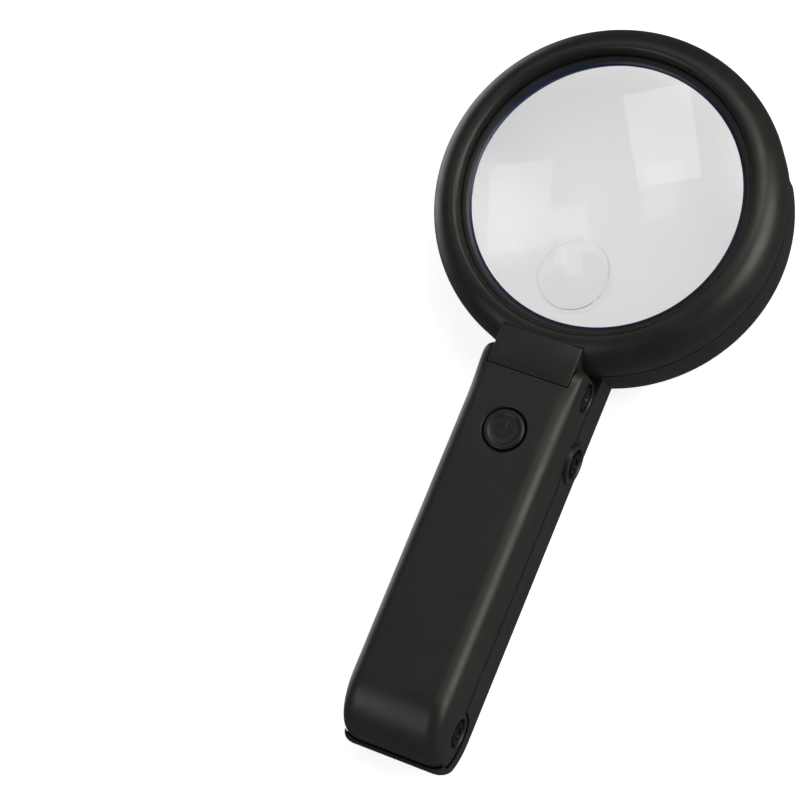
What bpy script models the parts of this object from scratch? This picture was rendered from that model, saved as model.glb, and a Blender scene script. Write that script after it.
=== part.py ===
"""Folding hand and stand magnifier with its own light.

The lens looks up (+Z) and the handle runs along -Y from the lens. The magnifier lies folded on
its stand: the stand's C ring is under the head, its two rails are under the handle, and a link
arm lies between the rails. Three hinges run along X: the head hinge between head and handle, the
elbow between handle and link arm, and the stand pivot between link arm and stand.
The origin is on the floor, under the middle of the outline.
"""
import bpy
import math

# ---------------------------------------------------------------- driving dimensions, millimetres
MM = 0.001
TOP = 34.0            # front plane of handle and head above the floor
LENS_Y = 67.7         # lens axis
SEG = 40              # facets of the large turned parts

HINGE = (3.4, 20.0)       # head hinge axis, (Y, Z)
ELBOW = (-111.7, 12.0)    # elbow axis
PIVOT = (-16.2, 8.7)      # stand pivot axis

HANDLE_W = 17.5       # half width of the handle
HANDLE_BACK = 13.3    # back plane of the handle
HANDLE_R = 5.5        # rounding of the handle's long front edges
HANDLE_WALL = 2.0
END_Y = -124.9        # lower end of the handle
END_R = 20.0          # big curve from the front face into the lower end
EAR_R = 6.8           # fork ears at the head hinge
ELBOW_R = 6.9         # fork ears at the elbow
FORK_X = 14.6         # half width of the slot for the neck
SLOT_X = 13.7         # half width of the slot for the link arm

TAB_X = 14.2          # half width of the neck tab
TAB_Y = 2.2           # lower edge of the neck tab
KNUCKLE_R = 6.2

BASE_H = 13.0         # height of the stand's ring and rails
BASE_END = -126.5
BASE_W = 17.9         # half width over the rails
RING_RO, RING_RI = 57.6, 53.2
RING_HALF = 120.0     # degrees each way from the handle's side
RAIL_WALL = 1.2
BASE_FLOOR = 1.6
LINK_X = 12.6         # half width of the link arm
LINK_WALL = 1.8

LENS_R = 47.6         # lens rim
LENS_EDGE = 2.6
LENS_MID = 25.75      # height of the lens's middle plane
LENS_SAG = 4.6
APERTURE = 45.0
SPOT_R, SPOT_Y = 12.2, -28.4    # moulded high-power spot, from the lens axis
LED_COUNT, LED_CIRCLE, LED_R = 8, 51.6, 1.5
POST_CIRCLE = 55.0
POST_ANGLES = (45.0, 135.0, 225.0, 315.0)

BUTTON_Y = -17.4
BUTTON_R = 6.8
BUTTON_TRAVEL = 1.2
CELL_R, CELL_LEN = 7.2, 49.2     # AA cells
CELL_Z = 23.4
RECESS_R = 5.0

for old in list(bpy.data.objects):
    bpy.data.objects.remove(old, do_unlink=True)

# ---------------------------------------------------------------- materials
PALETTE = {
    "shell": ((0.030, 0.031, 0.029), 0.42, 0.0),
    "button": ((0.018, 0.018, 0.018), 0.38, 0.0),
    "lens": ((0.90, 0.91, 0.93), 0.03, 0.0),
    "steel": ((0.55, 0.55, 0.55), 0.30, 1.0),
    "circuit": ((0.03, 0.20, 0.07), 0.50, 0.0),
    "led": ((0.95, 0.95, 0.88), 0.10, 0.0),
    "cell": ((0.20, 0.32, 0.24), 0.35, 0.0),
    "contact": ((0.75, 0.72, 0.62), 0.30, 1.0),
    "lead": ((0.55, 0.05, 0.04), 0.50, 0.0),
    "washer": ((0.85, 0.84, 0.80), 0.60, 0.0),
}


def set_material(obj, key):
    colour, rough, metal = PALETTE[key]
    mat = bpy.data.materials.new(obj.name + "_mat")
    mat.use_nodes = True
    shader = mat.node_tree.nodes["Principled BSDF"]
    shader.inputs["Base Color"].default_value = (*colour, 1.0)
    shader.inputs["Roughness"].default_value = rough
    shader.inputs["Metallic"].default_value = metal
    obj.data.materials.clear()
    obj.data.materials.append(mat)


# ---------------------------------------------------------------- mesh builders (arguments in mm)
import bmesh


def new_object(name, verts, faces, origin=(0.0, 0.0, 0.0), smooth=True):
    """Closed mesh from millimetre coordinates, faces turned outward."""
    mesh = bpy.data.meshes.new(name)
    bm = bmesh.new()
    made = [bm.verts.new([(v[k] - origin[k]) * MM for k in range(3)]) for v in verts]
    for f in faces:
        bm.faces.new([made[i] for i in f])
    bmesh.ops.recalc_face_normals(bm, faces=bm.faces)
    if bm.calc_volume(signed=True) < 0:
        bmesh.ops.reverse_faces(bm, faces=bm.faces)
    bm.to_mesh(mesh)
    bm.free()
    if smooth:
        mesh.shade_smooth()
        mesh.set_sharp_from_angle(angle=math.radians(35))
    obj = bpy.data.objects.new(name, mesh)
    obj.location = [c * MM for c in origin]
    bpy.context.scene.collection.objects.link(obj)
    return obj


def loft(name, loops, origin=(0.0, 0.0, 0.0)):
    """Skin over a row of loops with equal point counts, closed by a cap at each end."""
    n = len(loops[0])
    verts = [p for loop in loops for p in loop]
    faces = []
    for i in range(len(loops) - 1):
        for j in range(n):
            k = (j + 1) % n
            faces.append([i * n + j, i * n + k, (i + 1) * n + k])
            faces.append([i * n + j, (i + 1) * n + k, (i + 1) * n + j])
    faces.append(list(range(n)))
    faces.append([(len(loops) - 1) * n + j for j in range(n)])
    return new_object(name, verts, faces, origin)


def prism_x(name, outline, x0, x1, origin=(0.0, 0.0, 0.0)):
    return loft(name, [[(x, y, z) for y, z in outline] for x in (x0, x1)], origin)


def prism_z(name, outline, z0, z1, origin=(0.0, 0.0, 0.0)):
    return loft(name, [[(x, y, z) for x, y in outline] for z in (z0, z1)], origin)


def box(name, x0, x1, y0, y1, z0, z1, origin=(0.0, 0.0, 0.0)):
    return prism_z(name, [(x0, y0), (x1, y0), (x1, y1), (x0, y1)], z0, z1, origin)


def circle(cu, cv, r, n, start=0.0):
    return [(cu + r * math.cos(start + 2 * math.pi * i / n), cv + r * math.sin(start + 2 * math.pi * i / n)) for i in range(n)]


def rod_x(name, y, z, r, x0, x1, n=24, origin=(0.0, 0.0, 0.0)):
    return prism_x(name, circle(y, z, r, n, math.pi / n), x0, x1, origin)


def rod_y(name, x, z, steps, n=24, origin=(0.0, 0.0, 0.0)):
    """Round bar along Y; steps are (y, radius) pairs."""
    return loft(name, [[(x + r * math.cos(2 * math.pi * i / n), y, z + r * math.sin(2 * math.pi * i / n)) for i in range(n)]
                       for y, r in steps], origin)


def rod_z(name, x, y, steps, n=24, origin=(0.0, 0.0, 0.0), phase=0.11):
    """Round bar along Z; steps are (z, radius) pairs."""
    return loft(name, [[(x + r * math.cos(phase + 2 * math.pi * i / n), y + r * math.sin(phase + 2 * math.pi * i / n), z)
                        for i in range(n)] for z, r in steps], origin)


def turned(name, profile, n=SEG, centre=(0.0, LENS_Y), origin=(0.0, 0.0, 0.0)):
    """Ring turned about a vertical axis from a closed (radius, height) outline."""
    m = len(profile)
    verts, faces = [], []
    for i in range(n):
        a = 2 * math.pi * i / n
        for r, z in profile:
            verts.append((centre[0] + r * math.cos(a), centre[1] + r * math.sin(a), z))
    for i in range(n):
        for j in range(m):
            k = (j + 1) % m
            faces.append([i * m + j, ((i + 1) % n) * m + j, ((i + 1) % n) * m + k, i * m + k])
    return new_object(name, verts, faces, origin)


def sector(name, r0, r1, z0, z1, a0, a1, n=48, centre=(0.0, LENS_Y)):
    """Part of a rectangular-section ring; angles in degrees, 0 is -Y, positive towards +X."""
    steps = max(2, int(abs(a1 - a0) / 360.0 * n + 0.999))
    loops = []
    for i in range(steps + 1):
        a = math.radians(a0 + (a1 - a0) * i / steps)
        s, c = math.sin(a), -math.cos(a)
        loops.append([(centre[0] + r * s, centre[1] + r * c, z) for r, z in ((r0, z0), (r1, z0), (r1, z1), (r0, z1))])
    return loft(name, loops)


def arc(cu, cv, ru, rv, a0, a1, n):
    return [(cu + ru * math.cos(math.radians(a0 + (a1 - a0) * i / n)),
             cv + rv * math.sin(math.radians(a0 + (a1 - a0) * i / n))) for i in range(n + 1)]


def combine(target, tools, operation):
    """Apply one Boolean with all its tools at once, then delete the tools."""
    group = bpy.data.collections.new("tools")
    bpy.context.scene.collection.children.link(group)
    for tool in tools:
        bpy.context.scene.collection.objects.unlink(tool)
        group.objects.link(tool)
    mod = target.modifiers.new(operation.title(), "BOOLEAN")
    mod.operation = operation
    mod.solver = "EXACT"
    mod.operand_type = "COLLECTION"
    mod.collection = group
    bpy.context.view_layer.update()
    graph = bpy.context.evaluated_depsgraph_get()
    result = bpy.data.meshes.new_from_object(target.evaluated_get(graph))
    tidy = bmesh.new()
    tidy.from_mesh(result)
    bmesh.ops.remove_doubles(tidy, verts=tidy.verts, dist=0.004 * MM)
    bmesh.ops.dissolve_degenerate(tidy, edges=tidy.edges, dist=0.004 * MM)
    bmesh.ops.triangulate(tidy, faces=tidy.faces)
    tidy.to_mesh(result)
    tidy.free()
    target.modifiers.clear()
    target.data = result
    for tool in tools:
        bpy.data.objects.remove(tool, do_unlink=True)
    bpy.data.collections.remove(group)
    return target


def cut(target, *tools):
    return combine(target, tools, "DIFFERENCE")


def join(target, *tools):
    return combine(target, tools, "UNION")


def pivot_empty(name, y, z):
    e = bpy.data.objects.new(name, None)
    e.location = (0.0, y * MM, z * MM)
    bpy.context.scene.collection.objects.link(e)
    return e


# ---------------------------------------------------------------- axes of the joints
stand_axis = pivot_empty("stand_pivot_axis", *PIVOT)
elbow_axis = pivot_empty("elbow_axis", *ELBOW)
head_axis = pivot_empty("head_hinge_axis", *HINGE)
O_LINK = (0.0, PIVOT[0], PIVOT[1])
O_HANDLE = (0.0, ELBOW[0], ELBOW[1])
O_HEAD = (0.0, HINGE[0], HINGE[1])


# ---------------------------------------------------------------- side view of the handle
def handle_outline(inset=0.0, offset=0.0):
    """Closed (Y, Z) outline. inset rounds the front edges (full at the front face and the lower
    end, less at the ears and none on the back); offset grows or shrinks the whole outline."""
    pts = []                       # (y, z, weight)

    def add(points, w0, w1):
        n = len(points) - 1
        for i, (y, z) in enumerate(points):
            pts.append((y, z, w0 + (w1 - w0) * i / max(n, 1)))

    hy, hz = HINGE
    ey, ez = ELBOW
    low = math.degrees(math.asin((HANDLE_BACK - hz) / EAR_R))
    add([(ey + ELBOW_R + 0.4, HANDLE_BACK)], 0.12, 0.12)
    add([(-60.0, HANDLE_BACK)], 0.12, 0.12)
    add(arc(hy, hz, EAR_R, EAR_R, low, 0.0, 5), 0.12, 0.30)
    corner = 6.0
    add(arc(hy + EAR_R - corner, TOP - corner, corner, corner, 0.0, 90.0, 5), 0.34, 0.50)
    add([(-3.0, TOP)], 0.75, 0.75)
    add([(-10.0, TOP)], 1.0, 1.0)
    add([(-60.0, TOP)], 1.0, 1.0)
    add(arc(END_Y + END_R, TOP - END_R, END_R, END_R, 90.0, 180.0, 9), 1.0, 0.6)
    add(arc(ey, ez, ey - END_Y, ELBOW_R, 190.0, 270.0, 6), 0.5, 0.12)
    add(arc(ey, ez, ELBOW_R, ELBOW_R, 285.0, 360.0, 5), 0.12, 0.12)
    n = len(pts)
    out = []
    for i in range(n):
        y, z, w = pts[i]
        (y0, z0, _), (y1, z1, _) = pts[i - 1], pts[(i + 1) % n]
        ty, tz = y1 - y0, z1 - z0
        length = math.hypot(ty, tz)
        ny, nz = tz / length, -ty / length          # outward for a counter-clockwise outline
        move = offset - inset * w
        out.append((y + ny * move, z + nz * move))
    return out


def handle_solid(name, half, radius, offset=0.0, steps=3, origin=O_HANDLE):
    loops = []
    stations = []
    for i in range(steps + 1):
        a = math.pi / 2 * (1 - i / steps)
        stations.append((-(half - radius) - radius * math.sin(a), radius * (1 - math.cos(a))))
    stations += [(-x, inset) for x, inset in reversed(stations)]
    for x, inset in stations:
        loops.append([(x, y, z) for y, z in handle_outline(inset, offset)])
    return loft(name, loops, origin)


# ================================================================ STAND
plan = [(BASE_W, 13.2)] + [(-BASE_W, 13.2)]
plan += [(-p[0], p[1]) for p in arc(BASE_W - 4.0, BASE_END + 4.0, 4.0, 4.0, 0.0, -90.0, 5)]
plan += [(p[0], p[1]) for p in arc(BASE_W - 4.0, BASE_END + 4.0, 4.0, 4.0, -90.0, 0.0, 5)]
stand_base = prism_z("stand_base", plan, 0.0, 17.0)
side = [(20.0, -1.0)] + [(20.0, BASE_H), (-116.0, BASE_H), (-118.5, 14.4), (BASE_END - 1.0, 14.4)]
side += arc(ELBOW[0], 13.3, ELBOW[0] - BASE_END, 13.3, 180.0, 270.0, 8)[0:]
side += [(ELBOW[0] + 2.0, 0.0), (ELBOW[0] + 2.0, -1.0)]
stand_side = prism_x("guide_stand_side", side, -30.0, 30.0)
combine(stand_base, [stand_side], "INTERSECT")
join(stand_base, sector("guide_ring", RING_RI, RING_RO, 0.0, BASE_H, -RING_HALF, RING_HALF))
cut(stand_base,
    box("guide_stand_slot", -SLOT_X, SLOT_X, -108.2, -8.0, -2.0, 25.0),
    box("guide_stand_box", -SLOT_X, SLOT_X, -8.6, 7.2, 2.0, 25.0),
    handle_solid("guide_stand_cup", HANDLE_W + 0.7, HANDLE_R + 0.3, 0.5, origin=(0.0, 0.0, 0.0)))
join(stand_base, rod_z("guide_stand_boss", 0.0, 3.4, [(1.0, 2.6), (10.0, 2.4), (10.8, 1.8)], 16))
for sx in (-1.0, 1.0):
    join(stand_base, rod_x("guide_pivot_boss_%s" % ("left" if sx < 0 else "right"), PIVOT[0], PIVOT[1], 7.2,
                           min(sx * SLOT_X, sx * 18.9), max(sx * SLOT_X, sx * 18.9), 22))
# channels: long grooves in the ring and the rails, with cross ribs left between them
groove_parts = []
for sx in (-1.0, 1.0):
    xa, xb = sx * (SLOT_X + RAIL_WALL), sx * (BASE_W - RAIL_WALL)
    for ya, yb in ((-101.0, -79.0), (-77.8, -53.0), (-51.8, -25.0), (-7.0, 5.2)):
        groove_parts.append(box("guide_rail_groove_%d" % len(groove_parts), min(xa, xb), max(xa, xb), ya, yb, BASE_FLOOR, 20.0))
    for a0, a1 in ((20.5, 49.0), (50.2, 79.0), (80.2, 109.0), (110.2, 118.6)):
        groove_parts.append(sector("guide_ring_groove_%d" % len(groove_parts), RING_RI + 1.3, RING_RO - 1.3, BASE_FLOOR, 20.0,
                                   sx * a0, sx * a1))
cut(stand_base, *groove_parts)
cut(stand_base, rod_x("guide_pivot_hole", PIVOT[0], PIVOT[1], 2.2, -30.0, 30.0, 12),
    rod_x("guide_pivot_recess_left", PIVOT[0], PIVOT[1], RECESS_R, -30.0, -17.2, 18),
    rod_x("guide_pivot_recess_right", PIVOT[0], PIVOT[1], RECESS_R, 17.2, 30.0, 18))
set_material(stand_base, "shell")

# ================================================================ LINK ARM
py, pz = PIVOT
ey, ez = ELBOW
link_side = arc(py, pz, 4.2, 4.2, 270.0, 450.0, 7)            # round end at the stand pivot
link_side += [(-30.0, 12.9), (-103.8, 12.9)]
link_side += arc(ey, ez, 6.0, 6.0, 8.0, 262.0, 13)            # round end at the elbow
link_arm = prism_x("link_arm", link_side, -LINK_X, LINK_X, O_LINK)
cut(link_arm, prism_x("guide_link_channel", [(-23.0, 20.0), (-23.0, 5.9), (-103.0, 8.0), (-103.0, 20.0)],
                      -LINK_X + LINK_WALL, LINK_X - LINK_WALL),
    rod_x("guide_link_hole_pivot", py, pz, 2.2, -20.0, 20.0, 12),
    rod_x("guide_link_hole_elbow", ey, ez, 2.2, -20.0, 20.0, 12))
for y in (-50.0, -76.0):
    join(link_arm, box("guide_link_rib_%d" % -y, -LINK_X + 0.8, LINK_X - 0.8, y - 0.7, y + 0.7, 6.0, 11.4))
set_material(link_arm, "shell")


# ================================================================ BOLTS, NUTS, SCREWS
def bolt_x(name, y, z, x_head, x_tip, sign, origin, head_r=4.2, head_t=1.4, shank_r=1.8):
    """Pan-head bolt along X: the head's outer face is at x_head and the shank ends at x_tip."""
    inner = x_head - sign * head_t
    outline = [(x_head, head_r * 0.72), (x_head - sign * 0.5, head_r), (inner, head_r), (inner, shank_r), (x_tip, shank_r)]
    n = 14
    loops = [[(x, y + r * math.cos(2 * math.pi * i / n), z + r * math.sin(2 * math.pi * i / n)) for i in range(n)] for x, r in outline]
    obj = loft(name, loops, origin)
    lo, hi = sorted((x_head + sign * 1.0, x_head - sign * 0.8))
    cut(obj, box("guide_%s_slot_a" % name, lo, hi, y - 2.4, y + 2.4, z - 0.45, z + 0.45),
        box("guide_%s_slot_b" % name, lo, hi, y - 0.45, y + 0.45, z - 2.4, z + 2.4))
    set_material(obj, "steel")
    return obj


def nut_x(name, y, z, x0, x1, bore, origin):
    obj = prism_x(name, circle(y, z, 4.1, 6, math.pi / 6), x0, x1, origin)
    cut(obj, rod_x("guide_%s_bore" % name, y, z, bore, min(x0, x1) - 1, max(x0, x1) + 1, 12))
    set_material(obj, "steel")
    return obj


def washer_x(name, y, z, x0, x1, origin, ro=4.6, ri=2.2):
    obj = prism_x(name, circle(y, z, ro, 14), x0, x1, origin)
    cut(obj, rod_x("guide_%s_bore" % name, y, z, ri, min(x0, x1) - 1, max(x0, x1) + 1, 12))
    set_material(obj, "washer")
    return obj


def screw_z(name, x, y, z_head, z_tip, origin, head_r=1.9, head_t=1.1, shank_r=0.8):
    """Small screw along +Z whose head's outer face looks down."""
    outline = [(z_head, head_r * 0.7), (z_head + 0.35, head_r), (z_head + head_t, head_r), (z_head + head_t, shank_r), (z_tip, shank_r)]
    obj = rod_z(name, x, y, outline, 8, origin)
    cut(obj, box("guide_%s_slot" % name, x - 1.2, x + 1.2, y - 0.25, y + 0.25, z_head - 1.0, z_head + 0.6))
    set_material(obj, "steel")
    return obj


ZERO = (0.0, 0.0, 0.0)
bolt_x("stand_pivot_bolt", py, pz, -18.9, 18.4, -1.0, ZERO)
nut_x("stand_pivot_nut", py, pz, 17.5, 18.8, 2.1, ZERO)
washer_x("stand_pivot_washer_left", py, pz, -13.4, -12.9, ZERO, 4.0)
washer_x("stand_pivot_washer_right", py, pz, 12.9, 13.4, ZERO, 4.0)

# ================================================================ HANDLE
handle_shell = handle_solid("handle_shell", HANDLE_W, HANDLE_R)


def inner_tray(name, half, y0, y1, z_top, end_round=False):
    """Inside of the shell: a block with rounded front edges, open through the back."""
    r = 3.6
    section = [(half, 0.0), (half, z_top - r)] + [(half - r + r * math.cos(a), z_top - r + r * math.sin(a))
                                                  for a in (math.pi / 8, math.pi / 4, 3 * math.pi / 8)] + [(half - r, z_top)]
    section += [(-x, z) for x, z in reversed(section)]
    return loft(name, [[(x, y, z) for x, z in section] for y in (y0, y1)])


# hollow lower end with the slot in which the link arm swings
end_room = [(-101.6, -2.0), (-101.6, 31.8), (-106.0, 31.4)]
end_room += [p for p in arc(END_Y + END_R, TOP - END_R, END_R - 2.2, END_R - 2.2, 102.0, 180.0, 7)]
end_room += [(END_Y + 2.2, 11.4), (END_Y - 4.0, 11.4), (END_Y - 4.0, -2.0)]
# fork slot for the neck: open in front, round behind the hinge axis
fork_r = KNUCKLE_R + 0.6
fork_y = TAB_Y - 0.35
fork_a = math.degrees(math.acos((fork_y - HINGE[0]) / fork_r))
fork = [(20.0, 5.0), (20.0, 45.0), (fork_y, 45.0)] + arc(HINGE[0], HINGE[1], fork_r, fork_r, fork_a, 180.0, 6)
fork += [(HINGE[0] - fork_r, 5.0)]
cut(handle_shell,
    inner_tray("guide_handle_tray", HANDLE_W - HANDLE_WALL, -100.0, -5.8, TOP - HANDLE_WALL),
    prism_x("guide_handle_end_room", end_room, -SLOT_X, SLOT_X),
    prism_x("guide_fork", fork, -FORK_X, FORK_X),
    box("guide_lead_slot", -4.0, 4.0, -8.0, 1.0, 16.0, 22.5),
    # holes and round recesses of the two hinges
    rod_x("guide_hinge_hole", HINGE[0], HINGE[1], 2.1, -30.0, 30.0, 12),
    rod_x("guide_hinge_recess_left", HINGE[0], HINGE[1], RECESS_R, -30.0, -15.9, 18),
    rod_x("guide_hinge_recess_right", HINGE[0], HINGE[1], RECESS_R, 15.9, 30.0, 18),
    rod_x("guide_elbow_hole", ey, ez, 2.1, -30.0, 30.0, 12),
    rod_x("guide_elbow_recess_left", ey, ez, RECESS_R, -30.0, -15.8, 18),
    rod_x("guide_elbow_recess_right", ey, ez, RECESS_R, 15.8, 30.0, 18),
    # notches that clear the pivot bosses of the stand when folded
    rod_x("guide_boss_notch_left", py, pz, 7.8, -30.0, -13.0, 20),
    rod_x("guide_boss_notch_right", py, pz, 7.8, 13.0, 30.0, 20),
    # button well, with room for the button's skirt below the shell's wall
    rod_z("guide_button_hole", 0.0, BUTTON_Y, [(25.0, 8.8), (31.3, 8.8), (31.3, BUTTON_R + 0.5), (33.2, BUTTON_R + 0.5),
                                              (35.2, BUTTON_R + 2.5)], 24),
    # recess for the battery cover's catch, on the left side
    box("guide_catch_recess", -18.5, -15.0, -44.0, -30.0, 10.0, 17.4))
PLATE_SCREWS = ((0.0, -96.5), (-9.5, -8.9), (9.5, -8.9))
join(handle_shell, *[turned("guide_shell_post_%d" % i, [(1.1, 15.6), (2.2, 15.6), (2.2, 33.0), (1.1, 33.0)], 10, (x, y))
                     for i, (x, y) in enumerate(PLATE_SCREWS)])
set_material(handle_shell, "shell")

# rear plate with the battery opening, and the cover in it
PLATE_Z0, PLATE_Z1 = HANDLE_BACK, 15.2
handle_rear_plate = box("handle_rear_plate", -15.1, 15.1, -99.6, -6.2, PLATE_Z0, PLATE_Z1, O_HANDLE)
cut(handle_rear_plate, box("guide_plate_opening", -12.6, 12.6, -91.0, -29.0, 10.0, 20.0),
    box("guide_plate_catch", -16.0, -12.0, -43.6, -30.4, 10.0, 20.0),
    rod_x("guide_plate_notch_left", py, pz, 7.8, -30.0, -13.0, 20),
    rod_x("guide_plate_notch_right", py, pz, 7.8, 13.0, 30.0, 20))
for i, (x, y) in enumerate(PLATE_SCREWS):
    cut(handle_rear_plate, rod_z("guide_plate_hole_%d" % i, x, y, [(10.0, 2.3), (14.45, 2.3)], 14),
        rod_z("guide_plate_pilot_%d" % i, x, y, [(14.3, 1.1), (20.0, 1.1)], 10))
    screw_z("handle_screw_%d" % (i + 1), x, y, 13.35, 22.0, O_HANDLE)
set_material(handle_rear_plate, "shell")
battery_cover = box("battery_cover", -12.3, 12.3, -90.7, -29.3, HANDLE_BACK, 15.0, O_HANDLE)
join(battery_cover, box("guide_cover_catch", -17.0, -11.8, -43.2, -30.8, HANDLE_BACK, 15.0),
     box("guide_cover_catch_lip", -17.0, -15.9, -43.2, -30.8, HANDLE_BACK + 0.4, 16.9))
grip = [box("guide_cover_grip_%d" % i, -7.0, 7.0, -38.0 + 2.4 * i, -36.8 + 2.4 * i, 12.0, 13.8) for i in range(3)]
cut(battery_cover, *grip)
set_material(battery_cover, "shell")

# power button: cap with a skirt under the shell and a stem onto the switch
power_button = rod_z("power_button", 0.0, BUTTON_Y,
                     [(27.6, 1.8), (29.6, 1.8), (29.6, 8.2), (30.9, 8.2), (30.9, BUTTON_R), (33.6, BUTTON_R), (34.3, 5.9), (34.5, 4.6)], 24,
                     (0.0, BUTTON_Y, 30.0))
set_material(power_button, "button")


def coil(name, x, y, z0, z1, r0, r1, turns, wire, along="z", per_turn=10, sides=5, origin=O_HANDLE):
    """Compression spring: a wire of round section along a helix, closed at both ends."""
    steps = int(turns * per_turn)
    loops = []
    for i in range(steps + 1):
        t = i / steps
        a = 2 * math.pi * turns * t
        r = r0 + (r1 - r0) * t
        h = z0 + (z1 - z0) * t
        rise = (z1 - z0) / (2 * math.pi * turns)
        ring = []
        slope = math.atan2(rise, r)
        for k in range(sides):
            b = 2 * math.pi * k / sides
            u, v = wire * math.cos(b), wire * math.sin(b)
            # u points outward, v is square to the wire and to u
            du, dt, dh = u, -v * math.sin(slope), v * math.cos(slope)
            px = (r + du) * math.cos(a) - dt * math.sin(a)
            pyy = (r + du) * math.sin(a) + dt * math.cos(a)
            if along == "z":
                ring.append((x + px, y + pyy, h + dh))
            else:
                ring.append((x + px, h + dh, y + pyy))
        loops.append(ring)
    obj = loft(name, loops, origin)
    set_material(obj, "contact")
    return obj


coil("button_spring", 0.0, BUTTON_Y, 24.6, 27.6, 3.6, 3.6, 3.0, 0.3)
switch_body = box("switch_body", -4.0, 4.0, BUTTON_Y - 4.0, BUTTON_Y + 4.0, 18.6, 24.0, O_HANDLE)
join(switch_body, rod_z("guide_switch_plunger", 0.0, BUTTON_Y, [(23.0, 1.4), (26.0, 1.4)], 14))
set_material(switch_body, "button")
switch_board = box("switch_board", -10.5, 10.5, BUTTON_Y - 7.2, BUTTON_Y + 5.6, 16.7, 18.2, O_HANDLE)
set_material(switch_board, "circuit")

# cells, springs and contact plates
for label, sx, flip in (("left", -1.0, False), ("right", 1.0, True)):
    x = sx * 7.6
    y0, y1 = -94.0, -94.0 + CELL_LEN
    nub = 1.1
    if flip:
        steps = [(y0 + nub * 0, 2.6), (y0 + nub, 2.6), (y0 + nub, 6.9), (y0 + nub + 0.5, CELL_R), (y1 - 0.5, CELL_R), (y1, 6.4)]
    else:
        steps = [(y0, 6.4), (y0 + 0.5, CELL_R), (y1 - nub - 0.5, CELL_R), (y1 - nub, 6.9), (y1 - nub, 2.6), (y1, 2.6)]
    cell = rod_y("battery_" + label, x, CELL_Z, steps, 20, O_HANDLE)
    set_material(cell, "cell")
coil("battery_spring_left", -7.6, CELL_Z, -98.4, -94.7, 5.0, 2.6, 2.5, 0.35, along="y", per_turn=10, sides=5)
coil("battery_spring_right", 7.6, CELL_Z, -43.4, -39.8, 2.6, 5.0, 2.5, 0.35, along="y", per_turn=10, sides=5)
bridge = box("battery_contact_plate", -12.6, 12.6, -99.6, -99.0, 18.0, 28.8, O_HANDLE)
join(bridge, box("guide_contact_bump", 4.6, 10.6, -99.3, -94.4, 20.4, 26.4))
set_material(bridge, "contact")
for label, x0, x1, y in (("left", -12.6, -2.6, -44.4), ("right", 2.6, 12.6, -39.2)):
    terminal = box("battery_terminal_" + label, x0, x1, y, y + 0.6, 18.0, 28.8, O_HANDLE)
    set_material(terminal, "contact")

# elbow hardware
bolt_x("elbow_bolt", ey, ez, -17.3, 17.0, -1.0, O_HANDLE, head_t=1.1)
nut_x("elbow_nut", ey, ez, 16.1, 17.3, 2.1, O_HANDLE)
washer_x("elbow_washer_left", ey, ez, -13.4, -12.9, O_HANDLE)
washer_x("elbow_washer_right", ey, ez, 12.9, 13.4, O_HANDLE)
# head hinge hardware: one stub screw from each side, so the lead can pass through the middle
bolt_x("head_hinge_screw_left", HINGE[0], HINGE[1], -17.3, -9.2, -1.0, O_HANDLE, head_t=1.1, shank_r=1.7)
bolt_x("head_hinge_screw_right", HINGE[0], HINGE[1], 17.3, 9.2, 1.0, O_HANDLE, head_t=1.1, shank_r=1.7)


def lead(name, route, radius, origin):
    """Insulated lead through the given points."""
    curve = bpy.data.curves.new(name, "CURVE")
    curve.dimensions = "3D"
    curve.bevel_depth = radius * MM
    curve.bevel_resolution = 1
    curve.use_fill_caps = True
    spline = curve.splines.new("POLY")
    # points read from a smooth Catmull-Rom curve through the route
    smooth = []
    full = [route[0]] + list(route) + [route[-1]]
    for i in range(1, len(full) - 2):
        p0, p1, p2, p3 = full[i - 1], full[i], full[i + 1], full[i + 2]
        for s in range(4):
            t = s / 4.0
            smooth.append(tuple(0.5 * (2 * p1[k] + (p2[k] - p0[k]) * t + (2 * p0[k] - 5 * p1[k] + 4 * p2[k] - p3[k]) * t * t
                                       + (3 * p1[k] - p0[k] - 3 * p2[k] + p3[k]) * t ** 3) for k in range(3)))
    smooth.append(route[-1])
    spline.points.add(len(smooth) - 1)
    for point, p in zip(spline.points, smooth):
        point.co = (*[(p[k] - origin[k]) * MM for k in range(3)], 1.0)
    obj = bpy.data.objects.new(name, curve)
    obj.location = [c * MM for c in origin]
    bpy.context.scene.collection.objects.link(obj)
    mat = bpy.data.materials.new(name + "_mat")
    mat.use_nodes = True
    mat.node_tree.nodes["Principled BSDF"].inputs["Base Color"].default_value = (*PALETTE["lead"][0], 1.0)
    mat.node_tree.nodes["Principled BSDF"].inputs["Roughness"].default_value = PALETTE["lead"][1]
    curve.materials.append(mat)
    return obj


lead("handle_lead", [(2.0, BUTTON_Y + 4.6, 19.6), (2.0, -9.0, 20.4), (0.6, -4.0, 20.6), (0.0, 0.2, 20.1), (0.0, HINGE[0] - 0.4, HINGE[1])], 0.8, O_HANDLE)

# ================================================================ HEAD
dome = arc(50.5, 22.5, 8.2, 11.5, 0.0, 90.0, 7)
bezel_out = [(58.0, 16.5), (58.5, 19.5)] + dome + [(49.3, 33.75), (48.5, 32.8), (48.2, 31.2),
                                                  (48.2, 24.1), (45.9, 24.1), (45.9, 22.9), (48.2, 22.9), (48.2, 16.5)]
head_bezel = turned("head_bezel", bezel_out, origin=O_HEAD)
hy, hz = HINGE
neck = [(TAB_Y, TOP), (TAB_Y, hz + math.sqrt(KNUCKLE_R ** 2 - (TAB_Y - hy) ** 2))]
start = math.degrees(math.atan2(neck[1][1] - hz, TAB_Y - hy))
neck += arc(hy, hz, KNUCKLE_R, KNUCKLE_R, start, 285.0, 10)[1:]
neck += [(8.3, 15.0), (9.2, 16.6), (16.5, 16.6), (16.5, 33.0), (15.4, TOP)]
join(head_bezel, prism_x("guide_neck", neck, -TAB_X, TAB_X))
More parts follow.
